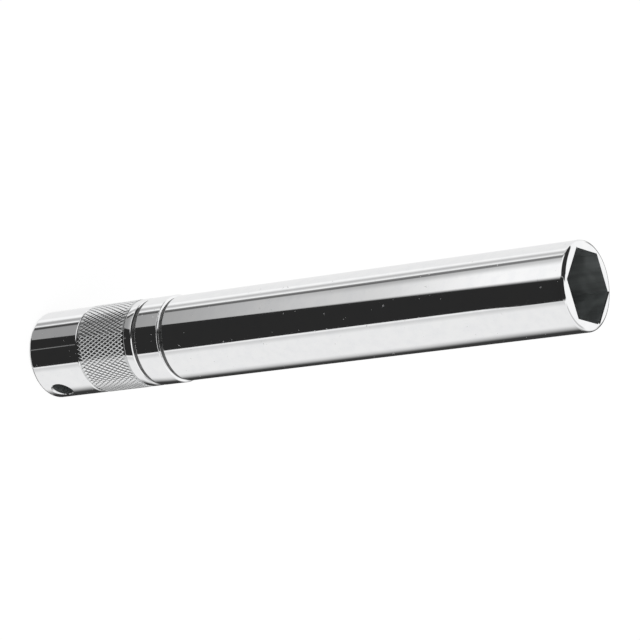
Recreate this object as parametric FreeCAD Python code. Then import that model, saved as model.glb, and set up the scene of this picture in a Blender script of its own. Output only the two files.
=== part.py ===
"""Long spark plug socket for a 3/8 inch square drive and a 16 mm plug hexagon.

The socket is one turned bar of steel, bored through. It stands on its drive end, with
the origin in the middle of that end face and +Z along its axis to the hexagon's mouth.
+X points through the hole for the driver's ball. A rubber insert snaps into a groove
behind the hexagon and holds the plug by its insulator.
"""

import FreeCAD
import Part

import math
import os

Vec = FreeCAD.Vector
AXIS = Vec(0, 0, 1)
BASE = Vec(0, 0, 0)

# Outside of the bar.
overall_length = 154.0
body_diameter = 21.0
drive_end_diameter = 21.6
drive_edge_rounding = 0.9
mouth_edge_rounding = 1.2

# Knurled grip: rows of four-sided points between two families of crossing grooves.
knurl_start = 15.5
knurl_teeth = 66
knurl_rows = 16
knurl_angle = 30.0
knurl_rise = 0.07
knurl_depth = 0.37
knurl_relief = 0.03

# Two marking grooves. The bar steps down to the body's diameter at the second one.
knurl_to_groove = 3.1
groove_spacing = 7.9
groove_width = 2.0
groove_depth = 0.6
groove_bottom_rounding = 0.7

# Square drive hole, with the ball's hole through one wall and a dimple in each other.
square_across_flats = 9.6
square_across_corners = 12.9
square_depth = 12.0
square_lead_in_diameter = 11.6
ball_height = 5.4
ball_hole_diameter = 5.2
ball_hole_edge_break = 0.25
dimple_ball_diameter = 5.0
dimple_depth = 0.6

# Bores along the axis.
through_bore_diameter = 11.5
chamber_diameter = 16.4
chamber_depth = 68.0
drill_point_angle = 118.0

# Hexagon for the plug, measured down from the mouth.
hex_across_flats = 16.1
hex_depth = 22.0
hex_corner_rounding = 0.35
hex_lead_in = 0.25
hex_turn = -8.8
snap_groove_diameter = 18.6
snap_groove_width = 2.4

# Rubber insert.
insert_clearance = 0.1
insert_length = 24.0
insert_grip_diameter = 10.0
insert_mouth_diameter = 13.6
insert_mouth_depth = 3.6
insert_chamfer = 0.5

# A tool that cuts material away reaches this far past the face that it starts from.
overshoot = 1.0

body_radius = body_diameter / 2
drive_end_radius = drive_end_diameter / 2
chamber_radius = chamber_diameter / 2
snap_groove_radius = snap_groove_diameter / 2
knurl_crest_radius = drive_end_radius + knurl_rise
knurl_root_radius = knurl_crest_radius - knurl_depth
knurl_relief_radius = knurl_root_radius - knurl_relief
knurl_chamfer = drive_end_radius - knurl_relief_radius
knurl_step_angle = 2 * math.pi / knurl_teeth
knurl_half_pitch = knurl_step_angle * knurl_crest_radius / 2
knurl_row_height = knurl_half_pitch / math.tan(math.radians(knurl_angle))
knurl_end = knurl_start + knurl_rows * knurl_row_height
first_groove_height = knurl_end + knurl_to_groove
second_groove_height = first_groove_height + groove_spacing
hex_bottom = overall_length - hex_depth
snap_groove_bottom = hex_bottom - snap_groove_width
chamber_bottom = overall_length - chamber_depth


def rounded_outline(corners):
    """Closed wire in the XZ plane through (radius, height, rounding) corners."""
    points = [Vec(radius, 0, height) for radius, height, _ in corners]
    starts, ends, arcs = [], [], []
    for index, (_, _, rounding) in enumerate(corners):
        here = points[index]
        next_point = points[(index + 1) % len(points)]
        back = (points[index - 1] - here).normalize()
        ahead = (next_point - here).normalize()
        half_angle = back.getAngle(ahead) / 2
        tangent = rounding / math.tan(half_angle)
        starts.append(here + back * tangent)
        ends.append(here + ahead * tangent)
        if rounding > 0:
            inwards = (back + ahead).normalize()
            middle = here + inwards * (rounding / math.sin(half_angle) - rounding)
            arcs.append(Part.Arc(starts[index], middle, ends[index]).toShape())
        else:
            arcs.append(None)
    edges = []
    for index, arc in enumerate(arcs):
        if arc is not None:
            edges.append(arc)
        next_start = starts[(index + 1) % len(starts)]
        edges.append(Part.LineSegment(ends[index], next_start).toShape())
    return Part.Wire(edges)


def turned(corners):
    """Solid turned about the axis from an outline of (radius, height, rounding) corners."""
    return Part.Face(rounded_outline(corners)).revolve(BASE, AXIS, 360)


def groove_corners(centre, radius_below, radius_above):
    """Outline corners of a marking groove between two turned diameters."""
    bottom = min(radius_below, radius_above) - groove_depth
    return [
        (radius_below, centre - groove_width / 2, 0),
        (bottom, centre, groove_bottom_rounding),
        (radius_above, centre + groove_width / 2, 0),
    ]


def drive_end_bar():
    """Turned bar below the knurl, chamfered at its top to just under the knurl's root."""
    return turned(
        [
            (0, 0, 0),
            (drive_end_radius, 0, drive_edge_rounding),
            (drive_end_radius, knurl_start - knurl_chamfer, 0),
            (knurl_relief_radius, knurl_start, 0),
            (0, knurl_start, 0),
        ]
    )


def body_bar():
    """Turned bar above the knurl: both grooves, the long body and its rounded mouth."""
    return turned(
        [
            (0, knurl_end, 0),
            (knurl_relief_radius, knurl_end, 0),
            (drive_end_radius, knurl_end + knurl_chamfer, 0),
            *groove_corners(first_groove_height, drive_end_radius, drive_end_radius),
            *groove_corners(second_groove_height, drive_end_radius, body_radius),
            (body_radius, overall_length, mouth_edge_rounding),
            (0, overall_length, 0),
        ]
    )


def knurl_point(radius, row, tooth):
    """Point at a knurl row's height, a number of teeth round the axis."""
    angle = tooth * knurl_step_angle
    height = knurl_start + row * knurl_row_height
    return Vec(radius * math.cos(angle), radius * math.sin(angle), height)


def flat_face(*points):
    """Flat face with straight edges through the points."""
    return Part.Face(Part.makePolygon([*points, points[0]]))


def knurl_row_facets(row, shift):
    """Facets of the points whose widest place is at this row.

    The grooves cross at whole teeth in even rows and half a tooth on in odd rows. A
    point stands between two crossings of its row, and runs up and down to a crossing in
    the rows beside it. In the first and last row its inner half is left at the root.
    """
    facets = []
    for tooth in range(knurl_teeth):
        left = knurl_point(knurl_root_radius, row, tooth + shift)
        right = knurl_point(knurl_root_radius, row, tooth + shift + 1)
        crest = knurl_point(knurl_crest_radius, row, tooth + shift + 0.5)
        below = knurl_point(knurl_root_radius, row - 1, tooth + shift + 0.5)
        above = knurl_point(knurl_root_radius, row + 1, tooth + shift + 0.5)
        if row == 0:
            facets.append(flat_face(left, right, above))
        elif row == knurl_rows:
            facets.append(flat_face(right, left, below))
        else:
            for tip in (below, above):
                facets.append(flat_face(crest, left, tip))
                facets.append(flat_face(crest, tip, right))
    return facets


def knurled_bar():
    """Stretch of bar with the knurl on its outside, still solid."""
    faces = []
    for row in range(knurl_rows + 1):
        shift = 0.5 * (row % 2)
        faces += knurl_row_facets(row, shift)
        if row in (0, knurl_rows):
            teeth = range(knurl_teeth)
            faces.append(
                flat_face(*[knurl_point(knurl_root_radius, row, tooth + shift) for tooth in teeth])
            )
    shell = Part.makeShell(faces)
    shell.sewShape()
    return Part.Solid(shell)


def long_bores():
    """Through bore, plug chamber with its drill point, and the insert's snap groove."""
    bore_radius = through_bore_diameter / 2
    point_slope = math.tan(math.radians(drill_point_angle / 2))
    point_height = (chamber_radius - bore_radius) / point_slope
    return turned(
        [
            (0, square_depth, 0),
            (bore_radius, square_depth, 0),
            (bore_radius, chamber_bottom, 0),
            (chamber_radius, chamber_bottom + point_height, 0),
            (chamber_radius, snap_groove_bottom, 0),
            (snap_groove_radius, snap_groove_bottom, 0),
            (snap_groove_radius, hex_bottom, 0),
            (0, hex_bottom, 0),
        ]
    )


def hexagon(across_flats, height):
    """Corners of the plug's hexagon at a height."""
    corner_radius = across_flats / 2 / math.cos(math.pi / 6)
    corners = []
    for side in range(6):
        angle = math.radians(hex_turn + 60 * side)
        corners.append(Vec(corner_radius * math.cos(angle), corner_radius * math.sin(angle), height))
    return corners


def hexagon_hole():
    """Six-sided hole for the plug, its corners rounded and its mouth opened at 45 degrees."""
    prism = flat_face(*hexagon(hex_across_flats, hex_bottom)).extrude(
        AXIS * (hex_depth + overshoot)
    )
    upright = [edge for edge in prism.Edges if edge.Length > hex_depth]
    hole = prism.makeFillet(hex_corner_rounding, upright)
    inner = hexagon(hex_across_flats, overall_length - hex_lead_in)
    outer = hexagon(
        hex_across_flats + 2 * (hex_lead_in + overshoot), overall_length + overshoot
    )
    wires = [Part.makePolygon([*corners, corners[0]]) for corners in (inner, outer)]
    return hole.fuse(Part.makeLoft(wires, True, True))


def square_hole():
    """Square prism with rounded corners for the driver, opened by a cone at 45 degrees."""
    half = square_across_flats / 2
    depth = square_depth + overshoot
    start = Vec(0, 0, -overshoot)
    corner = Vec(-half, -half, -overshoot)
    prism = Part.makeBox(square_across_flats, square_across_flats, depth, corner)
    round_bar = Part.makeCylinder(square_across_corners / 2, depth, start)
    cone_radius = square_lead_in_diameter / 2 + overshoot
    lead_in = Part.makeCone(cone_radius, 0, cone_radius, start)
    return prism.common(round_bar).fuse(lead_in)


def ball_hole():
    """Hole for the driver's ball through the +X wall, with its outer edge broken."""
    radius = ball_hole_diameter / 2
    inner_end = Vec(0, 0, ball_height)
    hole = Part.makeCylinder(radius, drive_end_radius + overshoot, inner_end, Vec(1, 0, 0))
    rim_drop = drive_end_radius - math.sqrt(drive_end_radius**2 - radius**2)
    cone_radius = radius + ball_hole_edge_break + overshoot
    wide_end = Vec(drive_end_radius - rim_drop / 2 + overshoot, 0, ball_height)
    edge_break = Part.makeCone(cone_radius, 0, cone_radius, wide_end, Vec(-1, 0, 0))
    return hole.fuse(edge_break)


def ball_dimples():
    """Round dimples for the driver's ball in the three other walls of the square."""
    ball_radius = dimple_ball_diameter / 2
    reach = square_across_flats / 2 + dimple_depth - ball_radius
    centre = Vec(reach, 0, ball_height)
    dimples = []
    for quarter in (1, 2, 3):
        ball = Part.makeSphere(ball_radius, centre)
        ball.rotate(BASE, AXIS, 90 * quarter)
        dimples.append(ball)
    return dimples


def socket_body():
    """The whole steel socket: turned, knurled, bored and broached from one bar."""
    bar = drive_end_bar().fuse([knurled_bar(), body_bar()])
    holes = [long_bores(), hexagon_hole(), square_hole(), ball_hole()]
    return bar.cut(holes + ball_dimples())


def rubber_insert():
    """Rubber sleeve with a rib at its top that snaps into the groove."""
    outer_radius = chamber_radius - insert_clearance
    rib_radius = snap_groove_radius - insert_clearance
    grip_radius = insert_grip_diameter / 2
    top = hex_bottom - insert_clearance
    bottom = top - insert_length
    rib_bottom = snap_groove_bottom + insert_clearance
    return turned(
        [
            (grip_radius + insert_chamfer, bottom, 0),
            (outer_radius - insert_chamfer, bottom, 0),
            (outer_radius, bottom + insert_chamfer, 0),
            (outer_radius, rib_bottom, 0),
            (rib_radius, rib_bottom, 0),
            (rib_radius, top - insert_chamfer, 0),
            (rib_radius - insert_chamfer, top, 0),
            (insert_mouth_diameter / 2, top, 0),
            (grip_radius, top - insert_mouth_depth, 0),
            (grip_radius, bottom + insert_chamfer, 0),
        ]
    )


def main():
    os.makedirs("parts", exist_ok=True)
    pieces = {"socket_body": socket_body(), "rubber_insert": rubber_insert()}
    for name, shape in pieces.items():
        solid = shape.Solids[0]
        solid.exportStep(f"parts/{name}.step")
        print(name, len(shape.Solids), "solid,", round(solid.Volume / 1000, 2), "cm3")


main()
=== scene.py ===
"""Long chrome spark plug socket, dressed on its CAD frame.

Everything is in metres in the frame's own axes: the socket stands on its drive end,
+Z runs to the mouth of the hexagon and +X points through the hole for the driver's ball.
"""

import math

import bmesh
import bpy
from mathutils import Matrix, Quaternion, Vector


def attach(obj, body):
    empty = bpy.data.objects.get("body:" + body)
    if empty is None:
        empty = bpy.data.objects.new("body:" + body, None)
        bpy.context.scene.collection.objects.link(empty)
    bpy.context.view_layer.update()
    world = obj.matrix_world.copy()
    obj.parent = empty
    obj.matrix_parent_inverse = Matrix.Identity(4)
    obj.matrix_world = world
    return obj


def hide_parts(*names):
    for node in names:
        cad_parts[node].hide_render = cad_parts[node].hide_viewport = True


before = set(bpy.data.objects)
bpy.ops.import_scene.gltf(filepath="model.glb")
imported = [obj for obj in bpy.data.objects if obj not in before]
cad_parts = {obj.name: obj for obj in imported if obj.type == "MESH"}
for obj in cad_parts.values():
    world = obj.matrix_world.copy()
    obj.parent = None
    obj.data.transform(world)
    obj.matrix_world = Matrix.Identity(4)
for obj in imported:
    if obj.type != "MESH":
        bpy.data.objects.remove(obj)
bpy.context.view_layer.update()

# Turned bar
# The socket starts as one bar of tool steel, turned on a lathe: a slightly thicker
# drive end, a waist that the knurl fills, two narrow marking grooves and the long body.
mm = 0.001
overall_length = 154.0 * mm
body_radius = 10.5 * mm
drive_end_radius = 10.8 * mm
drive_end_rounding = 0.9 * mm
mouth_rounding = 1.2 * mm
knurl_start = 15.5 * mm
knurl_end = 29.836 * mm
waist_radius = 10.6 * mm
waist_margin = 0.33 * mm
waist_rounding = 0.16 * mm
first_groove = 32.936 * mm
second_groove = 40.836 * mm
groove_half_width = 0.68 * mm
groove_floor_half_width = 0.46 * mm
groove_depth = 0.38 * mm
groove_edge_rounding = 0.14 * mm
groove_floor_rounding = 0.1 * mm
points_round = 264

# Places that are nearer than a hair count as the same place.
hair = 0.001 * mm


def deselect_all():
    """Leaves nothing selected, so that an operator touches only the new piece."""
    bpy.ops.object.select_all(action="DESELECT")


def face_outwards():
    """Turns all faces of the piece in edit mode outwards, and leaves edit mode."""
    bpy.ops.mesh.select_all(action="SELECT")
    bpy.ops.mesh.normals_make_consistent(inside=False)
    bpy.ops.object.mode_set(mode="OBJECT")


def turned(name, rings, points=points_round, closed=True):
    """Piece turned about Z through (radius, height) rings, as on a lathe."""
    deselect_all()
    radius, height = rings[0]
    bpy.ops.mesh.primitive_circle_add(
        vertices=points,
        radius=radius,
        fill_type="NGON" if closed else "NOTHING",
        location=(0, 0, height),
        rotation=(0, 0, -math.pi / 2),
    )
    piece = bpy.context.object
    piece.name = name
    bpy.ops.object.transform_apply(location=True, rotation=True, scale=True)
    bpy.ops.object.mode_set(mode="EDIT")
    bpy.ops.mesh.select_mode(type="EDGE")
    bpy.ops.mesh.select_all(action="SELECT")
    for next_radius, next_height in rings[1:]:
        bpy.ops.mesh.extrude_region_move(
            TRANSFORM_OT_translate={"value": (0, 0, next_height - height)}
        )
        growth = next_radius / radius
        bpy.ops.transform.resize(
            value=(growth, growth, 1), center_override=(0, 0, next_height)
        )
        radius, height = next_radius, next_height
    face_outwards()
    return piece


def pick_edges(piece, wanted):
    """Selects the edges that pass the test, with the piece in edit mode."""
    bpy.ops.mesh.select_mode(type="EDGE")
    bpy.ops.mesh.select_all(action="DESELECT")
    shape = bmesh.from_edit_mesh(piece.data)
    for edge in shape.edges:
        if wanted(edge):
            edge.select_set(True)
    bmesh.update_edit_mesh(piece.data)


def both_ends(edge, wanted):
    """Whether the places of an edge's two ends both pass the test."""
    return all(wanted(corner.co) for corner in edge.verts)


def round_ring(piece, radius, height, reach, steps):
    """Rounds the turned edge at a radius and height, with its faces cut back by reach."""

    def on_ring(place):
        return abs(place.z - height) < hair and abs(place.xy.length - radius) < hair

    bpy.ops.object.mode_set(mode="EDIT")
    pick_edges(piece, lambda edge: both_ends(edge, on_ring))
    bpy.ops.mesh.bevel(offset=reach, segments=steps, profile=0.5, affect="EDGES")
    bpy.ops.object.mode_set(mode="OBJECT")


def groove_rings(centre, radius_above):
    """Rings of a marking groove with sloped walls and a narrow floor."""
    bottom = radius_above - groove_depth
    return [
        (drive_end_radius, centre - groove_half_width),
        (bottom, centre - groove_floor_half_width),
        (bottom, centre + groove_floor_half_width),
        (radius_above, centre + groove_half_width),
    ]


waist_start = knurl_start - waist_margin
waist_end = knurl_end + waist_margin
waist_slope = drive_end_radius - waist_radius
socket = turned(
    "steel_socket",
    [
        (drive_end_radius, 0),
        (drive_end_radius, waist_start),
        (waist_radius, waist_start + waist_slope),
        (waist_radius, waist_end - waist_slope),
        (drive_end_radius, waist_end),
        *groove_rings(first_groove, drive_end_radius),
        *groove_rings(second_groove, body_radius),
        (body_radius, overall_length),
    ],
)
round_ring(socket, drive_end_radius, 0, drive_end_rounding, steps=8)
round_ring(socket, drive_end_radius, waist_start, waist_rounding, steps=4)
round_ring(socket, drive_end_radius, waist_end, waist_rounding, steps=4)
for groove, radius_above in ((first_groove, drive_end_radius), (second_groove, body_radius)):
    lower_edge = groove - groove_half_width
    upper_edge = groove + groove_half_width
    round_ring(socket, drive_end_radius, lower_edge, groove_edge_rounding, steps=5)
    round_ring(socket, radius_above, upper_edge, groove_edge_rounding, steps=5)
    for floor_edge in (groove - groove_floor_half_width, groove + groove_floor_half_width):
        bottom = radius_above - groove_depth
        round_ring(socket, bottom, floor_edge, groove_floor_rounding, steps=3)
round_ring(socket, body_radius, overall_length, mouth_rounding, steps=12)

# Bores and broached holes
# The bar is drilled through, bored out to a chamber for the plug, broached to a hexagon
# at the mouth and to a square at the drive end, and cross-drilled for the driver's ball.
bore_radius = 5.75 * mm
chamber_radius = 8.2 * mm
chamber_bottom = 86.0 * mm
drill_point = 1.472 * mm
drill_face_ring = 5.0 * mm
hexagon_flats = 16.1 * mm
hexagon_bottom = 132.0 * mm
hexagon_overlap = 0.5 * mm
hexagon_turn = -8.8
hexagon_corner = 0.2 * mm
hexagon_lead_in = 0.25 * mm
snap_groove_radius = 9.3 * mm
snap_groove_bottom = 129.6 * mm
square_flats = 9.6 * mm
square_corners = 12.9 * mm
square_depth = 12.0 * mm
square_lead_in = 5.8 * mm
countersink_tip = 1.0 * mm
ball_height = 5.4 * mm
ball_hole_radius = 2.6 * mm
ball_hole_break = 0.25 * mm
ball_hole_rim_drop = 0.16 * mm
dimple_radius = 2.5 * mm
dimple_reach = 2.9 * mm
points_broach = 128
points_cross_drill = 96
points_dimple = 64
quarter_turn = math.pi / 2

# A cutter reaches this far past the face that it starts from.
past = 1.0 * mm


def choose(piece):
    """Leaves only this piece selected and active."""
    deselect_all()
    piece.select_set(True)
    bpy.context.view_layer.objects.active = piece


def combine(piece, other, operation):
    """Adds the other shape to the piece or takes it out of it, and clears the other away."""
    choose(piece)
    step = piece.modifiers.new("combine", "BOOLEAN")
    step.operation = operation
    step.solver = "EXACT"
    step.object = other
    bpy.ops.object.modifier_apply(modifier=step.name)
    bpy.data.objects.remove(other, do_unlink=True)


# A ring in the drill's end face divides it, so that the ceiling of the groove for the
# rubber's rib keeps small faces.
drill = turned(
    "drill",
    [
        (bore_radius, square_depth - past),
        (bore_radius, chamber_bottom),
        (chamber_radius, chamber_bottom + drill_point),
        (chamber_radius, snap_groove_bottom),
        (snap_groove_radius, snap_groove_bottom),
        (snap_groove_radius, hexagon_bottom),
        (drill_face_ring, hexagon_bottom),
    ],
)
combine(socket, drill, "DIFFERENCE")

# The broach for the hexagon has rounded corners and flares at its top.
hexagon_radius = hexagon_flats / 2 / math.cos(math.pi / 6)
flare_start = overall_length - hexagon_lead_in
flare = 1 + (hexagon_lead_in + past) / (hexagon_flats / 2)
broach = turned(
    "hexagon_broach",
    [
        (hexagon_radius, hexagon_bottom - hexagon_overlap),
        (hexagon_radius, flare_start),
        (hexagon_radius * flare, overall_length + past),
    ],
    points=6,
)
bpy.ops.object.mode_set(mode="EDIT")
pick_edges(broach, lambda edge: abs(edge.verts[0].co.z - edge.verts[1].co.z) > hair)
bpy.ops.mesh.bevel(offset=hexagon_corner, segments=4, profile=0.5, affect="EDGES")
bpy.ops.mesh.select_all(action="SELECT")
bpy.ops.transform.rotate(
    value=math.radians(-hexagon_turn), orient_axis="Z", center_override=(0, 0, 0)
)
bpy.ops.object.mode_set(mode="OBJECT")
combine(socket, broach, "DIFFERENCE")

# The square broach is a round bar with four flats, and a countersink leads into its hole.
square_broach = turned(
    "square_broach",
    [(square_corners / 2, -past), (square_corners / 2, square_depth)],
    points=points_broach,
)
bpy.ops.object.mode_set(mode="EDIT")
for quarter in range(4):
    side = Vector((math.cos(quarter * quarter_turn), math.sin(quarter * quarter_turn), 0))
    bpy.ops.mesh.select_all(action="SELECT")
    bpy.ops.mesh.bisect(
        plane_co=side * square_flats / 2, plane_no=side, use_fill=True, clear_outer=True
    )
bpy.ops.object.mode_set(mode="OBJECT")
combine(socket, square_broach, "DIFFERENCE")
countersink = turned(
    "square_countersink",
    [(square_lead_in + past, -past), (countersink_tip, square_lead_in - countersink_tip)],
)
combine(socket, countersink, "DIFFERENCE")

# The cross drill and its countersink lie along +X, and a ball cutter makes the dimples.
cross_drill = turned(
    "cross_drill",
    [(ball_hole_radius, 0), (ball_hole_radius, drive_end_radius + past)],
    points=points_cross_drill,
)

# The hole's rim dips with the bar's curve, and the countersink starts at its mean height.
break_radius = ball_hole_radius + ball_hole_break + past
break_top = drive_end_radius - ball_hole_rim_drop + past
cross_countersink = turned(
    "cross_countersink",
    [
        (countersink_tip, break_top - break_radius + countersink_tip),
        (break_radius, break_top),
    ],
    points=points_cross_drill,
)
for tool in (cross_drill, cross_countersink):
    choose(tool)
    tool.rotation_euler = (0, quarter_turn, 0)
    tool.location = (0, 0, ball_height)
    bpy.ops.object.transform_apply(location=True, rotation=True, scale=True)
    combine(socket, tool, "DIFFERENCE")
for quarter in (1, 2, 3):
    turn = quarter * quarter_turn
    deselect_all()
    bpy.ops.mesh.primitive_uv_sphere_add(
        segments=points_dimple,
        ring_count=points_dimple // 2,
        radius=dimple_radius,
        location=(dimple_reach * math.cos(turn), dimple_reach * math.sin(turn), ball_height),
    )
    bpy.ops.object.transform_apply(location=True, rotation=True, scale=True)
    combine(socket, bpy.context.object, "DIFFERENCE")

# Knurl
# The grip is rolled into the bar: two families of fine crossing grooves at 30 degrees
# leave rows of flat-topped points, 66 round the bar and 16 rows along it.
knurl_root = 10.7 * mm
knurl_crest = 10.84 * mm
knurl_teeth = 66
knurl_double_rows = 8
knurl_slope_width = 0.15 * mm
knurl_ridge_rounding = 0.03 * mm
sleeve_inside = 9.9 * mm
weld_reach = 0.0005 * mm
smooth_angle = math.radians(30)

double_row = (knurl_end - knurl_start) / knurl_double_rows
knurl_middle = (knurl_root + knurl_crest) / 2
knurl = turned(
    "knurl",
    [(knurl_root, knurl_start + row * double_row) for row in range(knurl_double_rows + 1)],
    points=knurl_teeth,
    closed=False,
)


def on_even_row(place):
    """Whether a place lies on one of the rings that the sleeve was made from."""
    row = (place.z - knurl_start) / double_row
    return abs(row - round(row)) < 0.01


# Each field of the sleeve is cut to its centre, and its inner rings go, which leaves
# four-sided points. They are raised, and their edges are broken.
bpy.ops.object.mode_set(mode="EDIT")
bpy.ops.mesh.select_all(action="SELECT")
bpy.ops.mesh.poke()
pick_edges(knurl, lambda edge: both_ends(edge, on_even_row) and not edge.is_boundary)
bpy.ops.mesh.dissolve_edges(use_verts=False)
bpy.ops.mesh.select_mode(type="FACE")
bpy.ops.mesh.select_all(action="DESELECT")
shape = bmesh.from_edit_mesh(knurl.data)
for face in shape.faces:
    face.select_set(len(face.verts) == 4)
bmesh.update_edit_mesh(knurl.data)
bpy.ops.mesh.inset(
    thickness=knurl_slope_width, depth=knurl_crest - knurl_root, use_individual=True
)
pick_edges(
    knurl, lambda edge: both_ends(edge, lambda place: place.xy.length > knurl_middle)
)
bpy.ops.mesh.bevel(offset=knurl_ridge_rounding, segments=2, profile=0.5, affect="EDGES")

# The sleeve's two rims are turned inwards and joined, which closes it.
pick_edges(knurl, lambda edge: edge.is_boundary)
bpy.ops.mesh.extrude_region_move(TRANSFORM_OT_translate={"value": (0, 0, 0)})
inwards = sleeve_inside / knurl_root
bpy.ops.transform.resize(value=(inwards, inwards, 1), center_override=(0, 0, knurl_start))
bpy.ops.mesh.bridge_edge_loops()
face_outwards()
combine(socket, knurl, "UNION")


def weld(piece, distance):
    """Merges corners that lie closer than the distance, and turns the faces outwards."""
    choose(piece)
    bpy.ops.object.mode_set(mode="EDIT")
    bpy.ops.mesh.select_all(action="SELECT")
    bpy.ops.mesh.remove_doubles(threshold=distance)
    face_outwards()


weld(socket, weld_reach)
bpy.ops.object.shade_smooth_by_angle(angle=smooth_angle)
level_flats = socket.modifiers.new("level flats", "WEIGHTED_NORMAL")
level_flats.keep_sharp = True
level_flats.weight = 100
bpy.ops.object.modifier_apply(modifier=level_flats.name)

# Chrome and inside finish
# The outside is polished and chrome plated. Inside, the plating is thin and matt over
# the broached and drilled steel. The floors of the marking grooves are painted dark as shade.
chrome_white = (0.93, 0.932, 0.935, 1)
chrome_blue = (0.9, 0.905, 0.915, 1)
# Grey painted as shade in the knurl's cavities.
cavity_shade_grey = (0.66, 0.67, 0.67, 1)
groove_black = (0.06, 0.06, 0.06, 1)
groove_grey = (0.16, 0.16, 0.16, 1)
inside_grey = (0.22, 0.235, 0.235, 1)
inside_pale = (0.44, 0.47, 0.47, 1)
knurl_fade = 0.1 * mm
cavity_top = knurl_crest - 0.02 * mm
cavity_full = knurl_crest - 0.08 * mm
polish_relief = 0.02 * mm
# Inside, the painted highlights fade in between these heights.
highlight_fade_start = 60.0 * mm
highlight_fade_end = 120.0 * mm

# These limits tell the faces of the inside from those of the outside.
inside_radius = 9.6 * mm
standing_ring_height = 0.3 * mm
countersink_height = 1.1 * mm
ball_hole_skin = 0.02 * mm


def feed(tree, made, inputs):
    """Sets inputs of a node, given as (socket, value or link)."""
    for name, value in inputs:
        if isinstance(value, bpy.types.NodeSocket):
            tree.links.new(value, made.inputs[name])
        else:
            made.inputs[name].default_value = value


def node(tree, kind, inputs=(), **settings):
    """Adds a node, with its settings and its inputs."""
    made = tree.nodes.new(kind)
    for name, value in settings.items():
        setattr(made, name, value)
    feed(tree, made, inputs)
    return made


def maths(tree, operation, first, second=0.0):
    """Result of a sum on two values or links."""
    return node(
        tree, "ShaderNodeMath", [(0, first), (1, second)], operation=operation
    ).outputs[0]


def fade(tree, value, start, end, low=0.0, high=1.0):
    """Smooth change from low to high while the value goes from start to end."""
    return node(
        tree,
        "ShaderNodeMapRange",
        [("Value", value), (1, start), (2, end), (3, low), (4, high)],
        interpolation_type="SMOOTHSTEP",
    ).outputs[0]


def place_on_piece(tree):
    """Place of each point in the piece's own axes, in metres."""
    return node(tree, "ShaderNodeTexCoord").outputs["Object"]


def stretched(tree, place, scale):
    """Place multiplied by a scale for each axis, which draws a pattern out."""
    return node(tree, "ShaderNodeMapping", [("Vector", place), ("Scale", scale)]).outputs[0]


def noise(tree, place, scale, detail):
    """Irregular pattern between 0 and 1."""
    return node(
        tree, "ShaderNodeTexNoise", [("Vector", place), ("Scale", scale), ("Detail", detail)]
    ).outputs[0]


def mixed(tree, share, first, second):
    """Colour that goes from the first to the second with the share."""
    return node(
        tree,
        "ShaderNodeMix",
        [("Factor", share), (6, first), (7, second)],
        data_type="RGBA",
    ).outputs[2]


def relief(tree, pattern, strength, depth):
    """Surface direction of a shallow relief."""
    return node(
        tree,
        "ShaderNodeBump",
        [("Height", pattern), ("Strength", strength), ("Distance", depth)],
    ).outputs[0]


def new_finish(name):
    """Empty material with its surface shader, ready for a finish."""
    finish = bpy.data.materials.new(name)
    finish.use_nodes = True
    return finish, finish.node_tree, finish.node_tree.nodes["Principled BSDF"]


# The chrome is bright and slightly stained. In the knurl's cavities its colour is painted grey
# as shade, and it is rougher there.
chrome, tree, surface = new_finish("polished_chrome")
place = place_on_piece(tree)
along_x, along_y, along_z = node(tree, "ShaderNodeSeparateXYZ", [(0, place)]).outputs
square_x = maths(tree, "MULTIPLY", along_x, along_x)
square_y = maths(tree, "MULTIPLY", along_y, along_y)
radius = maths(tree, "SQRT", maths(tree, "ADD", square_x, square_y))
in_knurl = maths(
    tree,
    "MULTIPLY",
    fade(tree, along_z, knurl_start - knurl_fade, knurl_start + knurl_fade),
    fade(tree, along_z, knurl_end + knurl_fade, knurl_end - knurl_fade),
)
# Painted shade: the knurl's cavities are greyed and made rougher.
cavity_shade_and_roughness = maths(tree, "MULTIPLY", fade(tree, radius, cavity_top, cavity_full), in_knurl)
stains = noise(tree, place, scale=420.0, detail=3.0)
plating = mixed(tree, fade(tree, stains, 0.35, 0.7), chrome_white, chrome_blue)
gloss = fade(tree, stains, 0.3, 0.75, 0.035, 0.07)
specks = fade(tree, noise(tree, place, scale=1100.0, detail=1.0), 0.75, 0.79, 0.0, 0.45)
roughness = maths(tree, "ADD", gloss, maths(tree, "MULTIPLY", cavity_shade_and_roughness, 0.12))
polish = stretched(tree, place, (60.0, 60.0, 2400.0))
polish_lines = noise(tree, polish, scale=1.0, detail=2.0)
feed(
    tree,
    surface,
    [
        ("Base Color", mixed(tree, cavity_shade_and_roughness, plating, cavity_shade_grey)),
        ("Metallic", 1.0),
        ("Roughness", maths(tree, "ADD", roughness, specks)),
        ("Normal", relief(tree, polish_lines, 0.03, polish_relief)),
    ],
)

# The groove floors are painted dark and mottled, as shade.
painted_groove_shade, tree, surface = new_finish("groove_painted_shade")
groove_shade_mottle = noise(tree, place_on_piece(tree), scale=900.0, detail=4.0)
feed(
    tree,
    surface,
    [
        ("Base Color", mixed(tree, fade(tree, groove_shade_mottle, 0.3, 0.7), groove_black, groove_grey)),
        ("Metallic", 0.8),
        ("Roughness", fade(tree, groove_shade_mottle, 0.3, 0.7, 0.25, 0.4)),
    ],
)

# Inside, the broach has left fine streaks. Pale spots near the mouth are painted highlights,
# and they fade out deeper in the bore.
inside, tree, surface = new_finish("dull_plated_inside")
place = place_on_piece(tree)
streak_run = stretched(tree, place, (1800.0, 1800.0, 70.0))
streaks = noise(tree, streak_run, scale=1.0, detail=4.0)
painted_spot_pattern = noise(tree, place, scale=190.0, detail=1.5)
depth = node(tree, "ShaderNodeSeparateXYZ", [(0, place)]).outputs[2]
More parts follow.
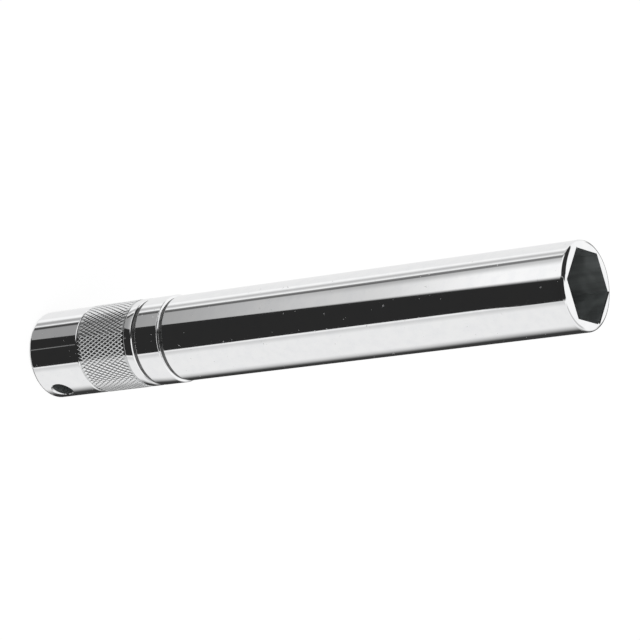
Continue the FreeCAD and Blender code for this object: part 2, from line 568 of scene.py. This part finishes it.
# Painted highlights: pale spots, only near the mouth.
painted_highlight = maths(
    tree,
    "MULTIPLY",
    fade(tree, painted_spot_pattern, 0.42, 0.72, 0.0, 0.8),
    fade(tree, depth, highlight_fade_start, highlight_fade_end),
)
brightness = maths(tree, "ADD", painted_highlight, fade(tree, streaks, 0.25, 0.75, 0.0, 0.2))
feed(
    tree,
    surface,
    [
        ("Base Color", mixed(tree, brightness, inside_grey, inside_pale)),
        ("Metallic", 0.82),
        ("Roughness", fade(tree, streaks, 0.25, 0.75, 0.3, 0.45)),
        ("Normal", relief(tree, streaks, 0.12, polish_relief)),
    ],
)

socket.data.materials.clear()
for finish in (chrome, inside, painted_groove_shade):
    socket.data.materials.append(finish)
for face in socket.data.polygons:
    x, y, z = face.center
    in_bore = math.hypot(x, y) < inside_radius and standing_ring_height < z < flare_start
    in_ball_hole = x > 0 and math.hypot(y, z - ball_height) < ball_hole_radius + ball_hole_skin
    on_countersink = z < countersink_height and face.normal.z < -0.5
    on_groove_floor = any(
        abs(z - groove) < groove_floor_half_width for groove in (first_groove, second_groove)
    )
    # The floors of the marking grooves take the painted shade.
    if on_groove_floor and not in_bore:
        face.material_index = 2
    elif (in_bore or in_ball_hole) and not on_countersink:
        face.material_index = 1

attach(socket, "root")
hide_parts("socket_body")

# Rubber insert
# A moulded black rubber sleeve sits behind the hexagon. Its rib snaps into the groove
# in the bore, and its inside grips the plug's insulator.
insert_top = 131.9 * mm
insert_bottom = 107.9 * mm
insert_radius = 8.1 * mm
insert_bottom_rounding = 0.5 * mm
rib_radius = 9.2 * mm
rib_bottom = 129.7 * mm
rib_top_rounding = 0.45 * mm
rib_bottom_rounding = 0.2 * mm
grip_radius = 5.0 * mm
insert_mouth_radius = 6.8 * mm
insert_mouth_depth = 3.6 * mm
insert_mouth_rounding = 0.3 * mm
insert_edge = 0.5 * mm
points_insert = 96
rubber_black = (0.018, 0.018, 0.019, 1)
rubber_grey = (0.042, 0.042, 0.044, 1)
rubber_relief = 0.05 * mm

insert = turned(
    "rubber_sleeve",
    [
        (grip_radius + insert_edge, insert_bottom),
        (insert_radius, insert_bottom),
        (insert_radius, rib_bottom),
        (rib_radius, rib_bottom),
        (rib_radius, insert_top),
        (insert_mouth_radius, insert_top),
        (grip_radius, insert_top - insert_mouth_depth),
        (grip_radius, insert_bottom + insert_edge),
        (grip_radius + insert_edge, insert_bottom),
    ],
    points=points_insert,
    closed=False,
)
weld(insert, hair)
round_ring(insert, insert_radius, insert_bottom, insert_bottom_rounding, steps=5)
round_ring(insert, rib_radius, insert_top, rib_top_rounding, steps=5)
round_ring(insert, rib_radius, rib_bottom, rib_bottom_rounding, steps=3)
round_ring(insert, insert_mouth_radius, insert_top, insert_mouth_rounding, steps=4)
bpy.ops.object.shade_smooth_by_angle(angle=smooth_angle)

rubber, tree, surface = new_finish("moulded_rubber")
grain = noise(tree, place_on_piece(tree), scale=1500.0, detail=5.0)
feed(
    tree,
    surface,
    [
        ("Base Color", mixed(tree, fade(tree, grain, 0.35, 0.7), rubber_black, rubber_grey)),
        ("Roughness", fade(tree, grain, 0.3, 0.7, 0.55, 0.8)),
        ("Normal", relief(tree, grain, 0.35, rubber_relief)),
    ],
)
insert.data.materials.append(rubber)

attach(insert, "root")
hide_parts("rubber_insert")

# Floor
# A plain white sheet that the socket stands on. The camera sees it white, with the
# socket's own soft shadow kept.
floor_width = 8.0
paper_white = (0.9, 0.9, 0.9, 1)
pure_white = (1, 1, 1, 1)
share_of_white = 0.88


def bare_material(name):
    """Empty material without a shader, for what only stands round the socket."""
    made = bpy.data.materials.new(name)
    made.use_nodes = True
    made.node_tree.nodes.clear()
    return made, made.node_tree


deselect_all()
bpy.ops.mesh.primitive_plane_add(size=floor_width)
floor = bpy.context.object
floor.name = "floor"
floor.visible_glossy = False
white_sheet, tree = bare_material("white_sheet")
seen_by = node(tree, "ShaderNodeLightPath").outputs
looked_at = maths(tree, "ADD", seen_by["Is Camera Ray"], seen_by["Is Glossy Ray"])
looked_at = maths(tree, "ADD", looked_at, seen_by["Is Transmission Ray"])
whiteness = maths(tree, "MULTIPLY", looked_at, share_of_white)
paper = node(tree, "ShaderNodeBsdfDiffuse", [("Color", paper_white)]).outputs[0]
lit = node(tree, "ShaderNodeEmission", [("Color", pure_white), ("Strength", 1.0)]).outputs[0]
blend = node(tree, "ShaderNodeMixShader", [(0, whiteness), (1, paper), (2, lit)])
node(tree, "ShaderNodeOutputMaterial", [("Surface", blend.outputs[0])])
floor.data.materials.append(white_sheet)

# Light tent
# Chrome shows only what stands round it, so a tent of white cloth does. It is open to
# the dark room where the camera looks in. To the left of the opening its cloth is grey
# and has a seam and a crease, and its back hangs in the dark.
tent_radius = 300.0 * mm
tent_bottom = -1700.0 * mm
tent_top = 1200.0 * mm
points_tent = 180
camera_side = math.radians(-56.63)

deselect_all()
bpy.ops.mesh.primitive_cylinder_add(
    vertices=points_tent,
    radius=tent_radius,
    depth=tent_top - tent_bottom,
    end_fill_type="NOTHING",
    location=(0, 0, (tent_top + tent_bottom) / 2),
)
tent = bpy.context.object
tent.name = "light_tent"
bpy.ops.object.transform_apply(location=True, rotation=True, scale=True)
tent.rotation_euler = (0, 0, camera_side)
tent.visible_camera = False
tent.visible_diffuse = False
tent.visible_transmission = False
tent.visible_volume_scatter = False
tent.visible_shadow = False

# Places on the cloth are degrees round it from the camera's side, and millimetres of
# height. The drive end shows heights near -200 and the mouth shows heights near -30.
cloth, tree = bare_material("tent_cloth")
axes = node(tree, "ShaderNodeSeparateXYZ", [(0, place_on_piece(tree))]).outputs
turn = maths(tree, "DEGREES", maths(tree, "ARCTAN2", axes[1], axes[0]))
height = maths(tree, "DIVIDE", axes[2], mm)


def plus(first, second):
    """Sum of two values or links."""
    return maths(tree, "ADD", first, second)


def times(first, second):
    """Product of two values or links."""
    return maths(tree, "MULTIPLY", first, second)


def along(start, end, low=0.0, high=1.0):
    """Smooth change from low to high between two heights of the cloth."""
    return fade(tree, height, start, end, low, high)


def left_over(covered, level):
    """Share of the light that is left where a shade of this level covers the cloth."""
    darker = times(covered, maths(tree, "SUBTRACT", 1.0, level))
    return maths(tree, "SUBTRACT", 1.0, darker)


def strip(light, first, last, soft_first, soft_last, level, angle=turn):
    """Darkens the cloth to a level between two angles, each with a soft edge."""
    after_first = fade(
        tree, maths(tree, "SUBTRACT", angle, first), times(soft_first, -1.0), soft_first
    )
    before_last = fade(tree, maths(tree, "SUBTRACT", angle, last), soft_last, -soft_last)
    return times(light, left_over(times(after_first, before_last), level))


def strip_over_back(light, *strip_sizes):
    """The same for a strip that runs on over the back, where the angles start again."""
    light = strip(light, *strip_sizes)
    return strip(light, *strip_sizes, angle=plus(turn, 360.0))


def line(light, middle, half_width, soft_first, soft_last, level):
    """Darkens a narrow line of the cloth, on both sides of its middle."""
    first = plus(middle, -half_width)
    last = plus(middle, half_width)
    return strip(light, first, last, soft_first, soft_last, level)


def only_between(level, bottom, top, soft):
    """Level of a strip that covers only these heights of the cloth."""
    above_bottom = along(bottom - soft, bottom + soft)
    below_top = along(top + soft, top - soft)
    return left_over(times(above_bottom, below_top), level)


def on_body(level):
    """Level of a strip that shows in the straight sides and not in rims and slopes."""
    return only_between(level, -560.0, 150.0, 60.0)


# The opening's left edge leans, and is sharper lower down. A lamp stand shows in it.
opening_left = -29.0
opening_right = 27.0
room_dark = 0.024
low_height = maths(tree, "MINIMUM", height, 0.0)
above_middle = maths(tree, "MAXIMUM", plus(low_height, 140.0), 0.0)
room_edge = plus(times(low_height, 0.0887), -26.85)
room_softness = plus(times(above_middle, 0.035), 0.8)
room_end = plus(along(-165.0, -120.0, 26.5, 25.7), along(-42.0, -24.0, 0.0, 3.5))
from_stand = maths(tree, "ABSOLUTE", plus(turn, 20.0))
lamp_stand = times(fade(tree, from_stand, 1.4, 0.5, 0.0, 0.2), along(-209.0, -215.0))
room_level = only_between(plus(lamp_stand, room_dark), -620.0, 0.0, 5.0)

# The grey side is palest at the top, and the seam and the crease lean a little.
grey_side = -82.0
left_side = -113.0
grey_level = plus(along(-215.0, -60.0, 0.32, 0.72), along(-90.0, -30.0, 0.0, 0.28))
fold_level = along(-150.0, -60.0, 1.0, 0.6)
seam_bend = times(maths(tree, "MAXIMUM", plus(height, 100.0), 0.0), -0.03)
seam = plus(along(-212.0, -182.0, -80.8, -82.9), seam_bend)
seam_level = along(-230.0, -100.0, 0.14, 0.2)
crease = plus(along(-212.0, -182.0, -95.5, -98.0), along(-90.0, -40.0, 0.0, -1.5))
crease_level = along(-215.0, -180.0, 0.52, 0.7)
back_start = plus(along(-195.0, -180.0, 116.0, 124.5), along(-80.0, -30.0, 0.0, -5.5))
back_dark = 0.04

# The straight sides show this middle part of the cloth: the right side and its fold, the
# opening, the grey side, the seam and its fold, the crease, the left side and the back.
light = strip(1.0, opening_right, 120.0, 3.0, 6.0, on_body(0.875))
light = strip(light, 30.0, 38.0, 1.5, 6.0, on_body(0.78))
light = strip(light, room_edge, room_end, room_softness, 0.6, room_level)
grey_cloth = only_between(grey_level, -400.0, 0.0, 20.0)
light = strip(light, grey_side, room_edge, 3.0, 0.8, grey_cloth)
light = line(light, seam, 4.3, 2.2, 2.2, on_body(seam_level))
light = strip(light, grey_side, -69.0, 1.0, 9.0, only_between(fold_level, -560.0, -6.0, 6.0))
light = line(light, crease, 6.5, 3.0, 1.5, on_body(crease_level))
light = line(light, crease, 2.5, 1.5, 1.5, on_body(0.74))
light = strip(light, -165.0, left_side, 10.0, 3.0, on_body(0.87))
light = strip_over_back(light, back_start, 183.0, 18.0, 4.0, on_body(back_dark))

# The knurl, the grooves and the rims also show what lies below: the dark table in front,
# and the dark floor behind it.
floor_dark = 0.05
light = strip(light, -125.0, 125.0, 10.0, 10.0, only_between(0.22, -1150.0, -500.0, 40.0))
behind_table = only_between(floor_dark, -1600.0, -260.0, 30.0)
light = strip_over_back(light, 130.0, 192.0, 8.0, 4.0, behind_table)
table_edge = only_between(floor_dark, -400.0, -200.0, 20.0)
light = strip_over_back(light, 174.0, 186.0, 1.5, 1.5, table_edge)

# Above, they show the dark room over the opening and the grey side, and the hems of the
# right side and the back.
room_above = only_between(room_dark, -5.0, 480.0, 8.0)
light = strip(light, opening_left, opening_right, 4.0, 4.0, room_above)
room_over_left = only_between(0.03, 120.0, 1150.0, 15.0)
light = strip(light, left_side, opening_left, 3.0, 1.0, room_over_left)
light = strip(light, 40.0, 125.0, 10.0, 10.0, only_between(0.6, 190.0, 320.0, 25.0))
back_hem = only_between(0.25, 60.0, 230.0, 25.0)
light = strip_over_back(light, 160.0, 200.0, 5.0, 5.0, back_hem)

glow = node(tree, "ShaderNodeEmission", [("Color", pure_white), ("Strength", light)])
node(tree, "ShaderNodeOutputMaterial", [("Surface", glow.outputs[0])])
tent.data.materials.append(cloth)

# Lamp and surround
# One large soft lamp overhead and a plain white surround light the socket evenly.
lamp_place = (0.35, -0.25, 0.8)
lamp_width = 0.7
lamp_power = 4.0

deselect_all()
bpy.ops.object.light_add(type="AREA", location=lamp_place)
lamp = bpy.context.object
lamp.name = "soft_lamp"
lamp.data.shape = "DISK"
lamp.data.size = lamp_width
lamp.data.energy = lamp_power
lamp.visible_glossy = False
lamp.rotation_mode = "QUATERNION"
lamp.rotation_quaternion = (-lamp.location).to_track_quat("-Z", "Y")

world = bpy.data.worlds.new("white_surround")
bpy.context.scene.world = world
world.use_nodes = True
surround = world.node_tree.nodes["Background"]
feed(world.node_tree, surround, [("Color", pure_white), ("Strength", 1.0)])

# Camera
# A long lens looks along the socket from the mouth's side, 34 degrees above the floor,
# rolled so that the socket lies across the picture.
camera_place = (327.408 * mm, -497.327 * mm, 482.382 * mm)
camera_aim = (-0.101 * mm, -0.010 * mm, 80.968 * mm)
camera_roll = 82.574
camera_lens = 170.3

camera_data = bpy.data.cameras.new("camera")
camera_data.lens = camera_lens
camera_data.sensor_width = 36.0
camera_data.clip_start = 0.05
camera_data.clip_end = 20.0
camera = bpy.data.objects.new("camera", camera_data)
bpy.context.scene.collection.objects.link(camera)
camera.location = camera_place
camera.rotation_mode = "QUATERNION"
aim = (Vector(camera_aim) - Vector(camera_place)).to_track_quat("-Z", "Y")
camera.rotation_quaternion = aim @ Quaternion((0, 0, 1), math.radians(camera_roll))
bpy.context.scene.camera = camera

bpy.context.scene.view_settings.view_transform = "Standard"
